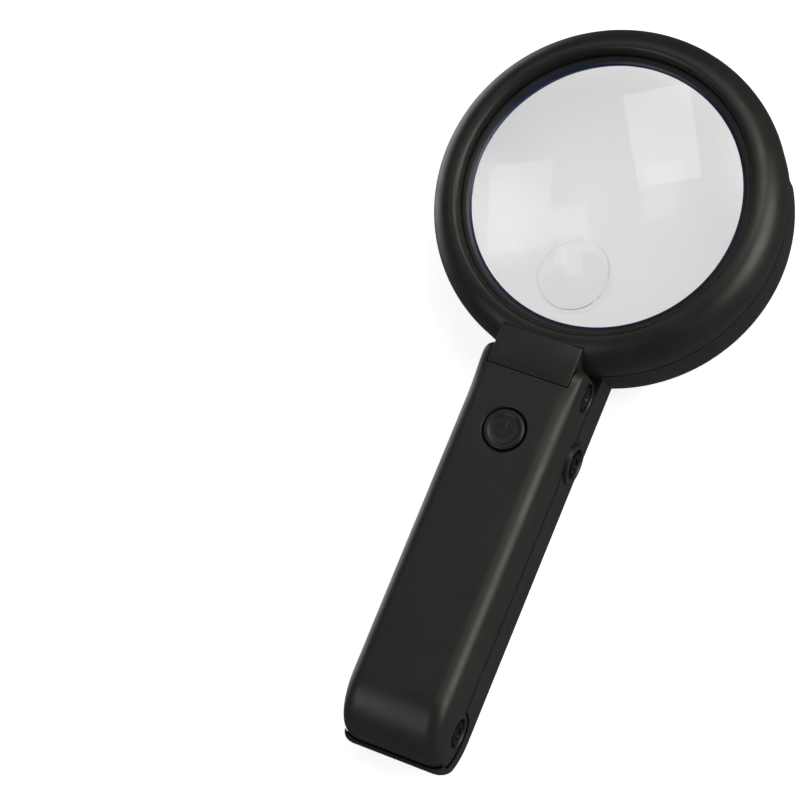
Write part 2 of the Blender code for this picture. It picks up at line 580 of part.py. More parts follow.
cavity = [(49.8, 10.0), (49.8, 30.0), (50.8, 31.0), (53.2, 31.4), (55.4, 28.8), (56.7, 23.6), (56.4, 10.0)]
posts = [(POST_CIRCLE * math.sin(math.radians(a)), LENS_Y + POST_CIRCLE * math.cos(math.radians(a))) for a in POST_ANGLES]
# room in the rim; the neck has holes for the stub screws, an open middle and a duct for the lead
cut(head_bezel, turned("guide_head_cavity", cavity),
    rod_x("guide_neck_hole_left", hy, hz, 2.0, -20.0, -8.8, 12),
    rod_x("guide_neck_hole_right", hy, hz, 2.0, 8.8, 20.0, 12),
    box("guide_neck_middle", -6.5, 6.5, -6.0, hy + 1.6, 8.0, hz + 4.2),
    box("guide_neck_duct", -3.2, 3.2, hy, 13.5, hz - 1.9, hz + 2.2))
join(head_bezel, *[turned("guide_head_post_%d" % i, [(1.05, 17.1), (1.9, 17.1), (1.9, 29.0), (1.05, 29.0)], 8, (x, y))
                   for i, (x, y) in enumerate(posts)])
set_material(head_bezel, "shell")

rear_profile = [(48.0, 13.3), (58.2, 13.3), (58.15, 16.2), (56.8, 16.2), (56.8, 15.1), (49.3, 15.1), (49.3, 16.2), (48.0, 16.2)]
head_rear_cover = turned("head_rear_cover", rear_profile, origin=O_HEAD)
led_angles = [22.5 + 45.0 * i for i in range(LED_COUNT)]
holes = []
for i, a in enumerate(led_angles):
    x, y = LED_CIRCLE * math.sin(math.radians(a)), LENS_Y + LED_CIRCLE * math.cos(math.radians(a))
    holes.append(rod_z("guide_led_hole_%d" % i, x, y, [(10.0, LED_R + 0.5), (20.0, LED_R + 0.5)], 8))
for i, a in enumerate(POST_ANGLES):
    x, y = POST_CIRCLE * math.sin(math.radians(a)), LENS_Y + POST_CIRCLE * math.cos(math.radians(a))
    holes.append(rod_z("guide_cover_screw_%d" % i, x, y, [(10.0, 2.2), (14.3, 2.2), (14.3, 1.1), (20.0, 1.1)], 8))
    screw_z("head_screw_%d" % (i + 1), x, y, 13.35 - 0.0, 22.0, O_HEAD, head_r=1.8, head_t=0.65)
cut(head_rear_cover, *holes)
set_material(head_rear_cover, "shell")

led_board = turned("led_board", [(50.1, 19.6), (52.9, 19.6), (52.9, 20.8), (50.1, 20.8)], origin=O_HEAD)
set_material(led_board, "circuit")
for i, a in enumerate(led_angles):
    x, y = LED_CIRCLE * math.sin(math.radians(a)), LENS_Y + LED_CIRCLE * math.cos(math.radians(a))
    led = rod_z("led_%d" % (i + 1), x, y, [(13.9, 0.5), (14.2, 1.1), (14.9, LED_R), (18.2, LED_R), (18.2, 1.75), (19.3, 1.75)], 8, O_HEAD)
    set_material(led, "led")

# lens ring: clamps the lens from the front
lens_ring = turned("lens_ring", [(APERTURE, 27.8), (47.9, 27.8), (47.9, 29.4), (46.6, 29.4), (45.5, 29.1), (APERTURE, 28.6)], origin=O_HEAD)
set_material(lens_ring, "shell")

# lens: biconvex disc, with a small stronger lens moulded on its front near the handle
ball = (LENS_R ** 2 + LENS_SAG ** 2) / (2 * LENS_SAG)
spot_ball = 46.0
front_pole = LENS_MID + LENS_EDGE / 2 + LENS_SAG


def lens_height(x, y):
    """Height of the lens's front surface at a point given from the lens axis."""
    z = front_pole - ball + math.sqrt(ball ** 2 - x * x - y * y)
    d2 = x * x + (y - SPOT_Y) ** 2
    if d2 < SPOT_R ** 2:
        z += math.sqrt(spot_ball ** 2 - d2) - math.sqrt(spot_ball ** 2 - SPOT_R ** 2)
    return z


main_lens = rod_z("main_lens", 0.0, LENS_Y, [(LENS_MID - LENS_EDGE / 2 - LENS_SAG + ball - math.sqrt(ball ** 2 - r * r), r) for r in (4.0, 20.0, 34.0, LENS_R)]
                  + [(LENS_MID + LENS_EDGE / 2, LENS_R)]
                  + [(front_pole - ball + math.sqrt(ball ** 2 - r * r), r) for r in (42.0, 32.0, 18.0, 4.0)], 40, O_HEAD)
base_z = front_pole - ball + math.sqrt(ball ** 2 - (abs(SPOT_Y) + SPOT_R) ** 2)
top_z = front_pole - ball + math.sqrt(ball ** 2 - SPOT_Y ** 2)
spot_steps = [(base_z - 1.0, SPOT_R)]
rim_z = front_pole - ball + math.sqrt(ball ** 2 - (abs(SPOT_Y) - SPOT_R) ** 2) - 0.6
spot_steps += [(rim_z + math.sqrt(spot_ball ** 2 - r * r) - math.sqrt(spot_ball ** 2 - SPOT_R ** 2), r) for r in (SPOT_R, 8.5, 3.0)]
join(main_lens, rod_z("guide_lens_spot", 0.0, LENS_Y + SPOT_Y, spot_steps, 24))
set_material(main_lens, "lens")

lead("head_lead", [(0.0, HINGE[0] + 0.5, HINGE[1]), (0.0, 7.0, 20.1), (0.0, 10.6, 20.3), (1.2, 14.0, 21.6), (4.0, LENS_Y - 51.4, 22.2)], 0.8, O_HEAD)

# ---------------------------------------------------------------- parenting to the joint axes
GROUPS = {
    stand_axis: ["link_arm"],
    elbow_axis: ["handle_shell", "handle_rear_plate", "battery_cover", "power_button", "button_spring", "switch_body", "switch_board",
                 "battery_left", "battery_right", "battery_spring_left", "battery_spring_right", "battery_contact_plate",
                 "battery_terminal_left", "battery_terminal_right", "elbow_bolt", "elbow_nut", "elbow_washer_left", "elbow_washer_right",
                 "head_hinge_screw_left", "head_hinge_screw_right", "handle_lead"] + ["handle_screw_%d" % i for i in range(1, 4)],
    head_axis: ["head_bezel", "head_rear_cover", "led_board", "lens_ring", "main_lens", "head_lead"]
    + ["led_%d" % i for i in range(1, LED_COUNT + 1)] + ["head_screw_%d" % i for i in range(1, 5)],
}
for axis, names in GROUPS.items():
    for name in names:
        child = bpy.data.objects[name]
        child.parent = axis
        child.location = [child.location[k] - axis.location[k] for k in range(3)]
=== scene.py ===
"""Folding lighted hand magnifier, lying folded on its stand: fine surfaces, materials, light and camera."""
import bpy
import bmesh
import math
from mathutils import Vector, Matrix


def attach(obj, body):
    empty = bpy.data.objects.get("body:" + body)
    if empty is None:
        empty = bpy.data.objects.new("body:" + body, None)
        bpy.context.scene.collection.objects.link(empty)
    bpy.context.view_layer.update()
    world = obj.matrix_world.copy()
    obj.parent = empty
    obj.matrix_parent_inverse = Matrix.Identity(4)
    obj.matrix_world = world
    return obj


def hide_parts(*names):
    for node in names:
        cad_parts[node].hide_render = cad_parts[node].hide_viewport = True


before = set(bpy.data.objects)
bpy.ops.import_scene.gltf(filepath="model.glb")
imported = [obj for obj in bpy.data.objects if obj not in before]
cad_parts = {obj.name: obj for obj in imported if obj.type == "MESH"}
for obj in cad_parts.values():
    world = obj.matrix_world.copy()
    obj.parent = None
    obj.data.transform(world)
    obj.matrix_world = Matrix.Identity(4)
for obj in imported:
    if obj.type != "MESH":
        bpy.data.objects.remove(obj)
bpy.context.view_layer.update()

# ------------------------------------------------------------------ dimensions, millimetres
MM = 0.001
TOP, LENS_Y = 34.0, 67.7
HINGE, ELBOW, PIVOT = (3.4, 20.0), (-111.7, 12.0), (-16.2, 8.7)
HANDLE_W, HANDLE_BACK, HANDLE_R, HANDLE_WALL = 17.5, 13.3, 5.5, 2.0
END_Y, END_R, EAR_R, ELBOW_R = -124.9, 20.0, 6.8, 6.9
FORK_X, SLOT_X = 14.6, 13.7
TAB_X, TAB_Y, KNUCKLE_R = 14.2, 2.2, 6.2
BASE_H, BASE_END, BASE_W = 13.0, -126.5, 17.9
RING_RO, RING_RI, RING_HALF = 57.6, 53.2, 120.0
RAIL_WALL, BASE_FLOOR = 1.2, 1.6
LINK_X, LINK_WALL = 12.6, 1.8
LENS_R, LENS_EDGE, LENS_MID, LENS_SAG = 47.6, 2.6, 25.75, 4.6
APERTURE, SPOT_R, SPOT_Y = 45.0, 12.2, -28.4
LED_COUNT, LED_CIRCLE, LED_R = 8, 51.6, 1.5
POST_CIRCLE, POST_ANGLES = 55.0, (45.0, 135.0, 225.0, 315.0)
BUTTON_Y, BUTTON_R = -17.4, 6.8
RECESS_R = 5.0
hy, hz = HINGE
ey, ez = ELBOW
py, pz = PIVOT


# ------------------------------------------------------------------ mesh builders (millimetres in, metres out)
def new_object(name, verts, faces, smooth=True, sharp=32):
    mesh = bpy.data.meshes.new(name)
    bm = bmesh.new()
    made = [bm.verts.new([c * MM for c in v]) for v in verts]
    for f in faces:
        bm.faces.new([made[i] for i in f])
    bmesh.ops.recalc_face_normals(bm, faces=bm.faces)
    if bm.calc_volume(signed=True) < 0:
        bmesh.ops.reverse_faces(bm, faces=bm.faces)
    bm.to_mesh(mesh)
    bm.free()
    if smooth:
        mesh.shade_smooth()
        mesh.set_sharp_from_angle(angle=math.radians(sharp))
    obj = bpy.data.objects.new(name, mesh)
    bpy.context.scene.collection.objects.link(obj)
    return obj


def loft(name, loops, closed=False, tri=True, sharp=32):
    n = len(loops[0])
    verts = [p for loop in loops for p in loop]
    faces = []
    m = len(loops)
    for i in range(m if closed else m - 1):
        a, b = i * n, ((i + 1) % m) * n
        for j in range(n):
            k = (j + 1) % n
            if tri:
                faces.append([a + j, a + k, b + k])
                faces.append([a + j, b + k, b + j])
            else:
                faces.append([a + j, a + k, b + k, b + j])
    if not closed:
        faces.append(list(range(n)))
        faces.append([(m - 1) * n + j for j in range(n)])
    return new_object(name, verts, faces, sharp=sharp)


def prism_x(name, outline, x0, x1):
    return loft(name, [[(x, y, z) for y, z in outline] for x in (x0, x1)], tri=False)


def prism_z(name, outline, z0, z1):
    return loft(name, [[(x, y, z) for x, y in outline] for z in (z0, z1)], tri=False)


def box(name, x0, x1, y0, y1, z0, z1):
    return prism_z(name, [(x0, y0), (x1, y0), (x1, y1), (x0, y1)], z0, z1)


def circle(cu, cv, r, n, start=0.0):
    return [(cu + r * math.cos(start + 2 * math.pi * i / n), cv + r * math.sin(start + 2 * math.pi * i / n)) for i in range(n)]


def rod_x(name, y, z, steps, n=64):
    """Round bar along X; steps are (x, radius) pairs."""
    return loft(name, [[(x, y + r * math.cos(2 * math.pi * i / n), z + r * math.sin(2 * math.pi * i / n)) for i in range(n)]
                       for x, r in steps], tri=False)


def rod_z(name, x, y, steps, n=48, phase=0.11):
    return loft(name, [[(x + r * math.cos(phase + 2 * math.pi * i / n), y + r * math.sin(phase + 2 * math.pi * i / n), z)
                        for i in range(n)] for z, r in steps], tri=False)


def turned(name, profile, n=192, centre=(0.0, LENS_Y), sharp=32):
    loops = []
    for i in range(n):
        a = 2 * math.pi * i / n
        loops.append([(centre[0] + r * math.cos(a), centre[1] + r * math.sin(a), z) for r, z in profile])
    return loft(name, loops, closed=True, tri=False, sharp=sharp)


def sector(name, section, a0, a1, n=240, centre=(0.0, LENS_Y)):
    """Part of a ring with the given (radius, height) section; 0 degrees is -Y, positive towards +X."""
    steps = max(2, int(round(abs(a1 - a0) / 360.0 * n)))
    loops = []
    for i in range(steps + 1):
        a = math.radians(a0 + (a1 - a0) * i / steps)
        s, c = math.sin(a), -math.cos(a)
        loops.append([(centre[0] + r * s, centre[1] + r * c, z) for r, z in section])
    return loft(name, loops, tri=False)


def arc(cu, cv, ru, rv, a0, a1, n):
    return [(cu + ru * math.cos(math.radians(a0 + (a1 - a0) * i / n)),
             cv + rv * math.sin(math.radians(a0 + (a1 - a0) * i / n))) for i in range(n + 1)]


def rounded(corners, radii, n=4):
    """Closed outline with its corners rounded, each by its own radius."""
    out = []
    m = len(corners)
    for i in range(m):
        p, r = Vector(corners[i]), radii[i] if isinstance(radii, (list, tuple)) else radii
        a, b = Vector(corners[i - 1]) - p, Vector(corners[(i + 1) % m]) - p
        if r <= 0:
            out.append(tuple(p))
            continue
        a.normalize()
        b.normalize()
        half = a.angle(b) / 2
        d = r / math.tan(half)
        c = p + (a + b).normalized() * (r / math.sin(half))
        s, e = p + a * d - c, p + b * d - c
        a0, a1 = math.atan2(s.y, s.x), math.atan2(e.y, e.x)
        while a1 - a0 > math.pi:
            a1 -= 2 * math.pi
        while a1 - a0 < -math.pi:
            a1 += 2 * math.pi
        for k in range(n + 1):
            t = a0 + (a1 - a0) * k / n
            out.append((c.x + r * math.cos(t), c.y + r * math.sin(t)))
    return out


def combine(target, tools, operation):
    group = bpy.data.collections.new("tools")
    bpy.context.scene.collection.children.link(group)
    for tool in tools:
        bpy.context.scene.collection.objects.unlink(tool)
        group.objects.link(tool)
    mod = target.modifiers.new(operation.title(), "BOOLEAN")
    mod.operation = operation
    mod.solver = "EXACT"
    mod.operand_type = "COLLECTION"
    mod.collection = group
    bpy.context.view_layer.update()
    result = bpy.data.meshes.new_from_object(target.evaluated_get(bpy.context.evaluated_depsgraph_get()))
    tidy = bmesh.new()
    tidy.from_mesh(result)
    bmesh.ops.remove_doubles(tidy, verts=tidy.verts, dist=0.003 * MM)
    bmesh.ops.dissolve_degenerate(tidy, edges=tidy.edges, dist=0.003 * MM)
    tidy.to_mesh(result)
    tidy.free()
    target.modifiers.clear()
    old = target.data
    target.data = result
    bpy.data.meshes.remove(old)
    for tool in tools:
        bpy.data.objects.remove(tool, do_unlink=True)
    bpy.data.collections.remove(group)
    return target


def cut(target, *tools):
    return combine(target, tools, "DIFFERENCE")


def join(target, *tools):
    return combine(target, tools, "UNION")


def soften(obj, width, segments=3, angle=38):
    """Round the edges that are sharper than the angle, and apply it."""
    mod = obj.modifiers.new("Bevel", "BEVEL")
    mod.width = width * MM
    mod.segments = segments
    mod.limit_method = "ANGLE"
    mod.angle_limit = math.radians(angle)
    mod.use_clamp_overlap = True
    mod.harden_normals = False
    bpy.context.view_layer.update()
    result = bpy.data.meshes.new_from_object(obj.evaluated_get(bpy.context.evaluated_depsgraph_get()))
    obj.modifiers.clear()
    obj.data = result
    return obj


def shade(obj, angle=32):
    tri = bmesh.new()
    tri.from_mesh(obj.data)
    bmesh.ops.triangulate(tri, faces=[f for f in tri.faces if len(f.verts) > 4])
    tri.to_mesh(obj.data)
    tri.free()
    obj.data.shade_smooth()
    obj.data.set_sharp_from_angle(angle=math.radians(angle))
    return obj


def place(obj, body, slot, *nodes, material=None):
    obj.data.materials.clear()
    obj.data.materials.append(material)
    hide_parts(*nodes)
    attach(obj, body)
    return obj


# ------------------------------------------------------------------ materials
def base_material(name, colour, rough, metal=0.0):
    mat = bpy.data.materials.new(name)
    mat.use_nodes = True
    tree = mat.node_tree
    shader = tree.nodes["Principled BSDF"]
    shader.inputs["Base Color"].default_value = (*colour, 1.0)
    shader.inputs["Roughness"].default_value = rough
    shader.inputs["Metallic"].default_value = metal
    return mat, tree, shader


def noise(tree, scale, detail=3.0, rough=0.55, stretch=None):
    coord = tree.nodes.new("ShaderNodeTexCoord")
    tex = tree.nodes.new("ShaderNodeTexNoise")
    tex.inputs["Scale"].default_value = scale
    tex.inputs["Detail"].default_value = detail
    tex.inputs["Roughness"].default_value = rough
    if stretch:
        mapping = tree.nodes.new("ShaderNodeMapping")
        mapping.inputs["Scale"].default_value = stretch
        tree.links.new(coord.outputs["Object"], mapping.inputs["Vector"])
        tree.links.new(mapping.outputs["Vector"], tex.inputs["Vector"])
    else:
        tree.links.new(coord.outputs["Object"], tex.inputs["Vector"])
    return tex.outputs["Fac"]


def spread(tree, value, low, high):
    node = tree.nodes.new("ShaderNodeMapRange")
    node.inputs["From Min"].default_value = 0.3
    node.inputs["From Max"].default_value = 0.7
    node.inputs["To Min"].default_value = low
    node.inputs["To Max"].default_value = high
    tree.links.new(value, node.inputs["Value"])
    return node.outputs["Result"]


def tint(tree, value, dark, light):
    ramp = tree.nodes.new("ShaderNodeValToRGB")
    ramp.color_ramp.elements[0].position = 0.30
    ramp.color_ramp.elements[0].color = (*dark, 1.0)
    ramp.color_ramp.elements[1].position = 0.70
    ramp.color_ramp.elements[1].color = (*light, 1.0)
    tree.links.new(value, ramp.inputs["Fac"])
    return ramp.outputs["Color"]


def bump(tree, height, strength, distance, normal=None):
    node = tree.nodes.new("ShaderNodeBump")
    node.inputs["Strength"].default_value = strength
    node.inputs["Distance"].default_value = distance * MM
    tree.links.new(height, node.inputs["Height"])
    if normal is not None:
        tree.links.new(normal, node.inputs["Normal"])
    return node.outputs["Normal"]


def plastic(name, dark, light, rough_low, rough_high, grain=2600.0, depth=0.02, strength=0.25):
    """Moulded plastic: fine spark texture, slow changes of gloss and faint colour drift."""
    mat, tree, shader = base_material(name, light, rough_high)
    tree.links.new(tint(tree, noise(tree, 60.0, 4.0), dark, light), shader.inputs["Base Color"])
    tree.links.new(spread(tree, noise(tree, 140.0, 3.0), rough_low, rough_high), shader.inputs["Roughness"])
    coarse = bump(tree, noise(tree, grain * 0.35, 2.0), strength * 0.5, depth * 1.5)
    tree.links.new(bump(tree, noise(tree, grain, 2.0, 0.6), strength, depth, coarse), shader.inputs["Normal"])
    return mat


SHELL = plastic("shell_plastic", (0.0135, 0.0138, 0.0125), (0.0185, 0.0188, 0.0168), 0.38, 0.48)
HEADP = plastic("head_plastic", (0.0120, 0.0124, 0.0112), (0.0165, 0.0170, 0.0152), 0.34, 0.44)
STANDP = plastic("stand_plastic", (0.0125, 0.0128, 0.0125), (0.0170, 0.0174, 0.0168), 0.36, 0.46)
BUTTONP = plastic("button_plastic", (0.0105, 0.0105, 0.0105), (0.0150, 0.0150, 0.0150), 0.34, 0.44, 3200.0, 0.015)
SWITCHP = plastic("switch_plastic", (0.010, 0.010, 0.011), (0.018, 0.018, 0.019), 0.35, 0.5)
NYLON = plastic("washer_nylon", (0.70, 0.69, 0.64), (0.82, 0.81, 0.77), 0.45, 0.6)


def metal(name, dark, light, rough_low, rough_high, stretch):
    mat, tree, shader = base_material(name, light, rough_low, 1.0)
    tree.links.new(tint(tree, noise(tree, 500.0, 5.0), dark, light), shader.inputs["Base Color"])
    brushed = noise(tree, 900.0, 3.0, 0.6, stretch)
    tree.links.new(spread(tree, brushed, rough_low, rough_high), shader.inputs["Roughness"])
    tree.links.new(bump(tree, brushed, 0.2, 0.01), shader.inputs["Normal"])
    return mat


STEEL = metal("screw_steel", (0.060, 0.064, 0.085), (0.13, 0.135, 0.165), 0.22, 0.38, (1.0, 6.0, 1.0))
CONTACT = metal("contact_nickel", (0.60, 0.58, 0.50), (0.74, 0.71, 0.63), 0.22, 0.36, (4.0, 1.0, 1.0))


def circuit_material():
    mat, tree, shader = base_material("circuit_board", (0.02, 0.16, 0.06), 0.4)
    coord = tree.nodes.new("ShaderNodeTexCoord")
    brick = tree.nodes.new("ShaderNodeTexBrick")
    brick.inputs["Scale"].default_value = 260.0
    brick.inputs["Color1"].default_value = (0.012, 0.12, 0.045, 1.0)
    brick.inputs["Color2"].default_value = (0.016, 0.16, 0.06, 1.0)
    brick.inputs["Mortar"].default_value = (0.05, 0.28, 0.10, 1.0)
    brick.inputs["Mortar Size"].default_value = 0.03
    tree.links.new(coord.outputs["Object"], brick.inputs["Vector"])
    tree.links.new(brick.outputs["Color"], shader.inputs["Base Color"])
    tree.links.new(spread(tree, noise(tree, 400.0), 0.3, 0.5), shader.inputs["Roughness"])
    return mat


CIRCUIT = circuit_material()


def cell_material():
    """Plain sleeve with a band at one end and faint changes of gloss."""
    mat, tree, shader = base_material("cell_sleeve", (0.10, 0.22, 0.14), 0.3)
    coord = tree.nodes.new("ShaderNodeTexCoord")
    parts = tree.nodes.new("ShaderNodeSeparateXYZ")
    tree.links.new(coord.outputs["Object"], parts.inputs["Vector"])
    step = tree.nodes.new("ShaderNodeMath")
    step.operation = "GREATER_THAN"
    step.inputs[1].default_value = -0.058
    tree.links.new(parts.outputs["Y"], step.inputs[0])
    mix = tree.nodes.new("ShaderNodeMix")
    mix.data_type = "RGBA"
    mix.inputs["A"].default_value = (0.09, 0.20, 0.13, 1.0)
    mix.inputs["B"].default_value = (0.62, 0.60, 0.55, 1.0)
    tree.links.new(step.outputs["Value"], mix.inputs["Factor"])
    tree.links.new(mix.outputs["Result"], shader.inputs["Base Color"])
    tree.links.new(spread(tree, noise(tree, 300.0), 0.22, 0.38), shader.inputs["Roughness"])
    return mat


CELL = cell_material()


def lead_material():
    mat, tree, shader = base_material("lead_insulation", (0.5, 0.04, 0.03), 0.4)
    tree.links.new(tint(tree, noise(tree, 700.0), (0.36, 0.025, 0.02), (0.52, 0.045, 0.035)), shader.inputs["Base Color"])
    tree.links.new(spread(tree, noise(tree, 500.0), 0.35, 0.5), shader.inputs["Roughness"])
    return mat


LEAD = lead_material()


def glass_material(name, colour, rough, ior, grain):
    mat, tree, shader = base_material(name, colour, rough)
    shader.inputs["Transmission Weight"].default_value = 1.0
    shader.inputs["IOR"].default_value = ior
    tree.links.new(tint(tree, noise(tree, 25.0, 2.0), tuple(c * 0.985 for c in colour), colour), shader.inputs["Base Color"])
    tree.links.new(bump(tree, noise(tree, grain, 1.0), 0.02, 0.002), shader.inputs["Normal"])
    return mat


LENS = glass_material("lens_acrylic", (0.800, 0.795, 0.808), 0.0, 1.49, 30.0)


def paint_spot_shade(mat):
    """Painted shade for the small lens: a thin darker ring at its edge and a touch darker inside, standing in for the
    light bent at the spot's rim.
    """
    tree = mat.node_tree
    shader = tree.nodes["Principled BSDF"]
    coord = tree.nodes.new("ShaderNodeTexCoord")
    shift = tree.nodes.new("ShaderNodeVectorMath")
    shift.operation = "SUBTRACT"
    shift.inputs[1].default_value = (0.0, (LENS_Y + SPOT_Y) * MM, 0.0)
    flat = tree.nodes.new("ShaderNodeVectorMath")
    flat.operation = "MULTIPLY"
    flat.inputs[1].default_value = (1.0, 1.0, 0.0)
    length = tree.nodes.new("ShaderNodeVectorMath")
    length.operation = "LENGTH"
    ratio = tree.nodes.new("ShaderNodeMath")
    ratio.operation = "DIVIDE"
    ratio.inputs[1].default_value = SPOT_R * MM * 1.25
    ramp = tree.nodes.new("ShaderNodeValToRGB")
    ramp.color_ramp.elements[0].position = 0.0
    ramp.color_ramp.elements[0].color = (0.955, 0.955, 0.955, 1.0)
    ramp.color_ramp.elements[1].position = 0.83
    ramp.color_ramp.elements[1].color = (1.0, 1.0, 1.0, 1.0)
    for pos, v in ((0.755, 0.945), (0.79, 0.86), (0.805, 0.93)):
        e = ramp.color_ramp.elements.new(pos)
        e.color = (v, v, v, 1.0)
    mix = tree.nodes.new("ShaderNodeMix")
    mix.data_type = "RGBA"
    mix.blend_type = "MULTIPLY"
    mix.inputs["Factor"].default_value = 1.0
    old = shader.inputs["Base Color"].links[0].from_socket
    tree.links.new(coord.outputs["Object"], shift.inputs[0])
    tree.links.new(shift.outputs["Vector"], flat.inputs[0])
    tree.links.new(flat.outputs["Vector"], length.inputs[0])
    tree.links.new(length.outputs["Value"], ratio.inputs[0])
    tree.links.new(ratio.outputs["Value"], ramp.inputs["Fac"])
    tree.links.new(old, mix.inputs["A"])
    tree.links.new(ramp.outputs["Color"], mix.inputs["B"])
    tree.links.new(mix.outputs["Result"], shader.inputs["Base Color"])


# painted shade: darker ring and darker disc at the small lens, put into the lens's base colour
paint_spot_shade(LENS)
LED_EPOXY = glass_material("led_epoxy", (0.96, 0.96, 0.92), 0.06, 1.5, 900.0)


# ------------------------------------------------------------------ handle
def handle_outline(inset=0.0, offset=0.0, fine=6):
    pts = []

    def add(points, w0, w1):
        n = len(points) - 1
        for i, (y, z) in enumerate(points):
            pts.append((y, z, w0 + (w1 - w0) * i / max(n, 1)))

    low = math.degrees(math.asin((HANDLE_BACK - hz) / EAR_R))
    add([(ey + ELBOW_R + 0.4, HANDLE_BACK)], 0.12, 0.12)
    add([(-90.0, HANDLE_BACK), (-60.0, HANDLE_BACK), (-30.0, HANDLE_BACK)], 0.12, 0.12)
    add(arc(hy, hz, EAR_R, EAR_R, low, 0.0, 3 * fine), 0.12, 0.30)
    corner = 6.0
    add(arc(hy + EAR_R - corner, TOP - corner, corner, corner, 0.0, 90.0, 3 * fine), 0.34, 0.50)
    add([(1.5, TOP), (-1.0, TOP), (-3.5, TOP), (-6.0, TOP)], 0.58, 0.93)
    add([(-10.0, TOP), (-40.0, TOP), (-70.0, TOP)], 1.0, 1.0)
    add(arc(END_Y + END_R, TOP - END_R, END_R, END_R, 90.0, 180.0, 5 * fine), 1.0, 0.6)
    add(arc(ey, ez, ey - END_Y, ELBOW_R, 186.0, 270.0, 3 * fine), 0.52, 0.12)
    add(arc(ey, ez, ELBOW_R, ELBOW_R, 280.0, 360.0, 2 * fine), 0.12, 0.12)
    n = len(pts)
    out = []
    for i in range(n):
        y, z, w = pts[i]
        (y0, z0, _), (y1, z1, _) = pts[i - 1], pts[(i + 1) % n]
        ty, tz = y1 - y0, z1 - z0
        length = math.hypot(ty, tz)
        move = offset - inset * w
        out.append((y + tz / length * move, z - ty / length * move))
    return out


def handle_solid(name, half, radius, offset=0.0, steps=9, fine=6):
    stations = []
    for i in range(steps + 1):
        a = math.pi / 2 * (1 - i / steps)
        stations.append((-(half - radius) - radius * math.sin(a), radius * (1 - math.cos(a))))
    stations += [(-x, inset) for x, inset in reversed(stations)]
    return loft(name, [[(x, y, z) for y, z in handle_outline(inset, offset, fine)] for x, inset in stations])


def inner_tray(name, half, y0, y1, z_top):
    r = 3.6
    section = [(half, 0.0), (half, z_top - r)] + [(half - r + r * math.cos(a), z_top - r + r * math.sin(a))
                                                  for a in (math.pi / 8, math.pi / 4, 3 * math.pi / 8)] + [(half - r, z_top)]
    section += [(-x, z) for x, z in reversed(section)]
    return loft(name, [[(x, y, z) for x, z in section] for y in (y0, y1)], tri=False)


def recess(name, y, z, face, floor, sign, n=64):
    """Round recess with a small chamfer at its mouth, cut from the side."""
    steps = [(sign * floor, RECESS_R), (sign * (face - 0.35), RECESS_R), (sign * face, RECESS_R + 0.35), (sign * (face + 4.0), RECESS_R + 4.35)]
    return rod_x(name, y, z, steps if sign > 0 else steps, n)


handle = handle_solid("handle_shell_fine", HANDLE_W, HANDLE_R)
end_room = [(-101.6, -2.0), (-101.6, 31.8), (-106.0, 31.4)]
end_room += arc(END_Y + END_R, TOP - END_R, END_R - 2.2, END_R - 2.2, 102.0, 180.0, 20)
end_room += [(END_Y + 2.2, 11.4), (END_Y - 4.0, 11.4), (END_Y - 4.0, -2.0)]
fork_r, fork_y = KNUCKLE_R + 0.6, TAB_Y - 0.35
fork_a = math.degrees(math.acos((fork_y - hy) / fork_r))
fork = [(20.0, 5.0), (20.0, 45.0), (fork_y, 45.0)] + arc(hy, hz, fork_r, fork_r, fork_a, 180.0, 24) + [(hy - fork_r, 5.0)]
PLATE_SCREWS = ((0.0, -96.5), (-9.5, -8.9), (9.5, -8.9))
cut(handle,
    inner_tray("t1", HANDLE_W - HANDLE_WALL, -100.0, -5.8, TOP - HANDLE_WALL),
    prism_x("t2", end_room, -SLOT_X, SLOT_X),
    prism_x("t3", fork, -FORK_X, FORK_X),
    box("t4", -4.0, 4.0, -8.0, 1.0, 16.0, 22.5),
    rod_x("t5", hy, hz, [(-30.0, 2.1), (30.0, 2.1)], 32),
    recess("t6", hy, hz, HANDLE_W, 15.9, -1.0), recess("t7", hy, hz, HANDLE_W, 15.9, 1.0),
    rod_x("t8", ey, ez, [(-30.0, 2.1), (30.0, 2.1)], 32),
    recess("t9", ey, ez, HANDLE_W, 15.8, -1.0), recess("t10", ey, ez, HANDLE_W, 15.8, 1.0),
    rod_x("t11", py, pz, [(-30.0, 7.8), (-13.0, 7.8)], 96), rod_x("t12", py, pz, [(13.0, 7.8), (30.0, 7.8)], 96),
    rod_z("t13", 0.0, BUTTON_Y, [(25.0, 8.8), (31.3, 8.8), (31.3, BUTTON_R + 0.45), (33.35, BUTTON_R + 0.45), (33.75, BUTTON_R + 0.65),
                                 (34.0, BUTTON_R + 1.05), (35.2, BUTTON_R + 3.0)], 96),
    box("t14", -18.5, -15.0, -44.0, -30.0, 10.0, 17.4))
join(handle, *[turned("p%d" % i, [(1.1, 15.6), (2.2, 15.6), (2.2, 33.0), (1.1, 33.0)], 24, (x, y)) for i, (x, y) in enumerate(PLATE_SCREWS)])
place(shade(handle), "handle", "shell", "handle_shell", material=SHELL)

